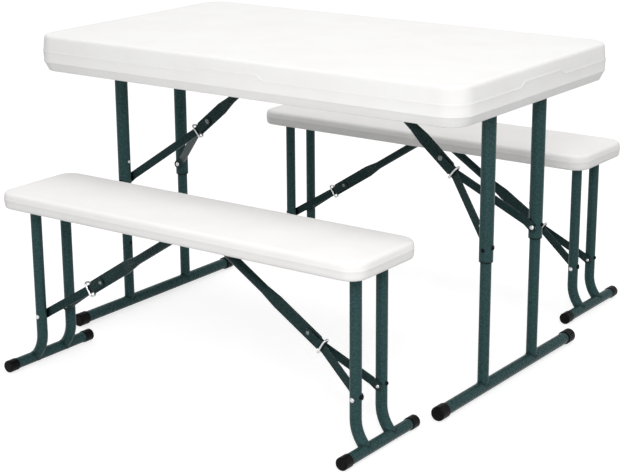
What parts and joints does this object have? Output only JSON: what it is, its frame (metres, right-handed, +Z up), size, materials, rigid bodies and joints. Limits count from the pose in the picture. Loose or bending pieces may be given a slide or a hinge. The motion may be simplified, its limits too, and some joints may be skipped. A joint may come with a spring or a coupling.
{
  "type": "folding picnic table set",
  "caption": "Folding picnic table with a moulded top, telescoping T-foot leg frames and locking braces, with matching free-standing folding benches.",
  "frame": {"origin": "on the floor, in the middle of the whole set", "axes": "+X along the table's length, +Y across it from the front bench to the rear bench, +Z up"},
  "size_m": [1.194, 1.317, 0.74],
  "materials": {
    "white_plastic": "pebbled",
    "green_steel": "satin hammered paint",
    "zinc": "zinc plated",
    "black_plastic": "moulded",
    "black_rubber": "moulded"
  },
  "bodies": {
    "table_top": {"tabletop": "white_plastic", "table_hinge_saddles": "green_steel", "table_screws": "zinc", "table_stay_brackets": "green_steel", "table_stay_pins": "zinc"},
    "left_legs": {"left_leg_frame": "green_steel", "left_leg_bushes": "black_plastic", "left_leg_bumpers": "black_plastic"},
    "left_foot": {"left_foot": "green_steel", "left_foot_caps": "black_rubber"},
    "left_front_button": {"left_front_snap_button": "zinc"},
    "left_rear_button": {"left_rear_snap_button": "zinc"},
    "left_stay": {"left_stay": "green_steel"},
    "left_fork": {"left_fork": "green_steel", "left_fork_rivets": "zinc"},
    "left_ring": {"left_lock_ring": "zinc"},
    "right_legs": {"right_leg_frame": "green_steel", "right_leg_bushes": "black_plastic", "right_leg_bumpers": "black_plastic"},
    "right_foot": {"right_foot": "green_steel", "right_foot_caps": "black_rubber"},
    "right_front_button": {"right_front_snap_button": "zinc"},
    "right_rear_button": {"right_rear_snap_button": "zinc"},
    "right_stay": {"right_stay": "green_steel"},
    "right_fork": {"right_fork": "green_steel", "right_fork_rivets": "zinc"},
    "right_ring": {"right_lock_ring": "zinc"},
    "front_bench": {"front_bench_seat": "white_plastic", "front_bench_hinge_saddles": "green_steel", "front_bench_screws": "zinc", "front_bench_stay_bracket": "green_steel"},
    "front_bench_left_legs": {"front_bench_left_leg_frame": "green_steel", "front_bench_left_caps": "black_rubber"},
    "front_bench_left_stay_bar": {"front_bench_left_stay": "green_steel"},
    "front_bench_left_fork_straps": {"front_bench_left_fork": "green_steel", "front_bench_left_fork_rivets": "zinc"},
    "front_bench_left_ring": {"front_bench_left_lock_ring": "zinc"},
    "front_bench_right_legs": {"front_bench_right_leg_frame": "green_steel", "front_bench_right_caps": "black_rubber"},
    "front_bench_right_stay_bar": {"front_bench_right_stay": "green_steel"},
    "front_bench_right_fork_straps": {"front_bench_right_fork": "green_steel", "front_bench_right_fork_rivets": "zinc"},
    "front_bench_right_ring": {"front_bench_right_lock_ring": "zinc"},
    "rear_bench": {"rear_bench_seat": "white_plastic", "rear_bench_hinge_saddles": "green_steel", "rear_bench_screws": "zinc", "rear_bench_stay_bracket": "green_steel"},
    "rear_bench_left_legs": {"rear_bench_left_leg_frame": "green_steel", "rear_bench_left_caps": "black_rubber"},
    "rear_bench_left_stay_bar": {"rear_bench_left_stay": "green_steel"},
    "rear_bench_left_fork_straps": {"rear_bench_left_fork": "green_steel", "rear_bench_left_fork_rivets": "zinc"},
    "rear_bench_left_ring": {"rear_bench_left_lock_ring": "zinc"},
    "rear_bench_right_legs": {"rear_bench_right_leg_frame": "green_steel", "rear_bench_right_caps": "black_rubber"},
    "rear_bench_right_stay_bar": {"rear_bench_right_stay": "green_steel"},
    "rear_bench_right_fork_straps": {"rear_bench_right_fork": "green_steel", "rear_bench_right_fork_rivets": "zinc"},
    "rear_bench_right_ring": {"rear_bench_right_lock_ring": "zinc"}
  },
  "joints": [
    {"name": "left_leg_fold", "type": "hinge", "parent": "table_top", "child": "left_legs", "pos_m": [-0.5295, -0.025, 0.697], "axis": [0, -1, 0], "range_deg": [0, 90]},
    {"name": "left_foot_slide", "type": "slide", "parent": "left_legs", "child": "left_foot", "axis": [0, 0, 1], "range_m": [0, 0.215]},
    {"name": "left_front_button_press", "type": "slide", "parent": "left_legs", "child": "left_front_button", "axis": [-1, 0, 0], "range_m": [0, 0.0025], "stiffness_N_per_m": 500},
    {"name": "left_rear_button_press", "type": "slide", "parent": "left_legs", "child": "left_rear_button", "axis": [-1, 0, 0], "range_m": [0, 0.0025], "stiffness_N_per_m": 500},
    {"name": "left_stay_swing", "type": "hinge", "parent": "table_top", "child": "left_stay", "pos_m": [-0.102, -0.025, 0.697], "axis": [0, 1, 0], "range_deg": [0, 39.94]},
    {"name": "left_fork_swing", "type": "hinge", "parent": "left_stay", "child": "left_fork", "pos_m": [-0.34239, -0.025, 0.49569], "axis": [0, -1, 0], "range_deg": [0, 180]},
    {"name": "left_ring_slide", "type": "slide", "parent": "left_fork", "child": "left_ring", "axis": [0.7667, 0, 0.642], "range_m": [0, 0.03]},
    {"name": "right_leg_fold", "type": "hinge", "parent": "table_top", "child": "right_legs", "pos_m": [0.5295, -0.025, 0.697], "axis": [0, 1, 0], "range_deg": [0, 90]},
    {"name": "right_foot_slide", "type": "slide", "parent": "right_legs", "child": "right_foot", "axis": [0, 0, 1], "range_m": [0, 0.215]},
    {"name": "right_front_button_press", "type": "slide", "parent": "right_legs", "child": "right_front_button", "axis": [1, 0, 0], "range_m": [0, 0.0025], "stiffness_N_per_m": 500},
    {"name": "right_rear_button_press", "type": "slide", "parent": "right_legs", "child": "right_rear_button", "axis": [1, 0, 0], "range_m": [0, 0.0025], "stiffness_N_per_m": 500},
    {"name": "right_stay_swing", "type": "hinge", "parent": "table_top", "child": "right_stay", "pos_m": [0.102, -0.025, 0.697], "axis": [0, -1, 0], "range_deg": [0, 39.94]},
    {"name": "right_fork_swing", "type": "hinge", "parent": "right_stay", "child": "right_fork", "pos_m": [0.34239, -0.025, 0.49569], "axis": [0, 1, 0], "range_deg": [0, 180]},
    {"name": "right_ring_slide", "type": "slide", "parent": "right_fork", "child": "right_ring", "axis": [-0.7667, 0, 0.642], "range_m": [0, 0.03]},
    {"name": "front_bench_pull_away", "type": "slide", "parent": "table_top", "child": "front_bench", "axis": [0, -1, 0], "range_m": [0, 0.25]},
    {"name": "front_bench_left_leg_fold", "type": "hinge", "parent": "front_bench", "child": "front_bench_left_legs", "pos_m": [-0.4135, -0.52, 0.3992], "axis": [0, -1, 0], "range_deg": [0, 90]},
    {"name": "front_bench_left_stay_swing", "type": "hinge", "parent": "front_bench", "child": "front_bench_left_stay_bar", "pos_m": [0.022, -0.52, 0.3992], "axis": [0, 1, 0], "range_deg": [0, 32.62]},
    {"name": "front_bench_left_fork_swing", "type": "hinge", "parent": "front_bench_left_stay_bar", "child": "front_bench_left_fork_straps", "pos_m": [-0.26179, -0.52, 0.21759], "axis": [0, -1, 0], "range_deg": [0, 180]},
    {"name": "front_bench_left_ring_slide", "type": "slide", "parent": "front_bench_left_fork_straps", "child": "front_bench_left_ring", "axis": [0.8423, 0, 0.539], "range_m": [0, 0.028]},
    {"name": "front_bench_right_leg_fold", "type": "hinge", "parent": "front_bench", "child": "front_bench_right_legs", "pos_m": [0.4795, -0.52, 0.3992], "axis": [0, 1, 0], "range_deg": [0, 90]},
    {"name": "front_bench_right_stay_swing", "type": "hinge", "parent": "front_bench", "child": "front_bench_right_stay_bar", "pos_m": [0.044, -0.52, 0.3992], "axis": [0, -1, 0], "range_deg": [0, 32.62]},
    {"name": "front_bench_right_fork_swing", "type": "hinge", "parent": "front_bench_right_stay_bar", "child": "front_bench_right_fork_straps", "pos_m": [0.32779, -0.52, 0.21759], "axis": [0, 1, 0], "range_deg": [0, 180]},
    {"name": "front_bench_right_ring_slide", "type": "slide", "parent": "front_bench_right_fork_straps", "child": "front_bench_right_ring", "axis": [-0.8423, 0, 0.539], "range_m": [0, 0.028]},
    {"name": "rear_bench_pull_away", "type": "slide", "parent": "table_top", "child": "rear_bench", "axis": [0, 1, 0], "range_m": [0, 0.25]},
    {"name": "rear_bench_left_leg_fold", "type": "hinge", "parent": "rear_bench", "child": "rear_bench_left_legs", "pos_m": [-0.4565, 0.52, 0.3992], "axis": [0, -1, 0], "range_deg": [0, 90]},
    {"name": "rear_bench_left_stay_swing", "type": "hinge", "parent": "rear_bench", "child": "rear_bench_left_stay_bar", "pos_m": [-0.021, 0.52, 0.3992], "axis": [0, 1, 0], "range_deg": [0, 32.62]},
    {"name": "rear_bench_left_fork_swing", "type": "hinge", "parent": "rear_bench_left_stay_bar", "child": "rear_bench_left_fork_straps", "pos_m": [-0.30479, 0.52, 0.21759], "axis": [0, -1, 0], "range_deg": [0, 180]},
    {"name": "rear_bench_left_ring_slide", "type": "slide", "parent": "rear_bench_left_fork_straps", "child": "rear_bench_left_ring", "axis": [0.8423, 0, 0.539], "range_m": [0, 0.028]},
    {"name": "rear_bench_right_leg_fold", "type": "hinge", "parent": "rear_bench", "child": "rear_bench_right_legs", "pos_m": [0.4365, 0.52, 0.3992], "axis": [0, 1, 0], "range_deg": [0, 90]},
    {"name": "rear_bench_right_stay_swing", "type": "hinge", "parent": "rear_bench", "child": "rear_bench_right_stay_bar", "pos_m": [0.001, 0.52, 0.3992], "axis": [0, -1, 0], "range_deg": [0, 32.62]},
    {"name": "rear_bench_right_fork_swing", "type": "hinge", "parent": "rear_bench_right_stay_bar", "child": "rear_bench_right_fork_straps", "pos_m": [0.28479, 0.52, 0.21759], "axis": [0, 1, 0], "range_deg": [0, 180]},
    {"name": "rear_bench_right_ring_slide", "type": "slide", "parent": "rear_bench_right_fork_straps", "child": "rear_bench_right_ring", "axis": [-0.8423, 0, 0.539], "range_m": [0, 0.028]}
  ],
  "couplings": [
    {"joint": "left_foot_slide", "follows": "left_leg_fold", "m_per_rad": 0.13687},
    {"joint": "left_stay_swing", "follows": "left_leg_fold", "ratio": 0.44382},
    {"joint": "left_fork_swing", "follows": "left_leg_fold", "ratio": 2},
    {"joint": "right_foot_slide", "follows": "right_leg_fold", "m_per_rad": 0.13687},
    {"joint": "right_stay_swing", "follows": "right_leg_fold", "ratio": 0.44382},
    {"joint": "right_fork_swing", "follows": "right_leg_fold", "ratio": 2},
    {"joint": "front_bench_left_stay_swing", "follows": "front_bench_left_leg_fold", "ratio": 0.36241},
    {"joint": "front_bench_left_fork_swing", "follows": "front_bench_left_leg_fold", "ratio": 2},
    {"joint": "front_bench_right_stay_swing", "follows": "front_bench_right_leg_fold", "ratio": 0.36241},
    {"joint": "front_bench_right_fork_swing", "follows": "front_bench_right_leg_fold", "ratio": 2},
    {"joint": "rear_bench_left_stay_swing", "follows": "rear_bench_left_leg_fold", "ratio": 0.36241},
    {"joint": "rear_bench_left_fork_swing", "follows": "rear_bench_left_leg_fold", "ratio": 2},
    {"joint": "rear_bench_right_stay_swing", "follows": "rear_bench_right_leg_fold", "ratio": 0.36241},
    {"joint": "rear_bench_right_fork_swing", "follows": "rear_bench_right_leg_fold", "ratio": 2}
  ]
}
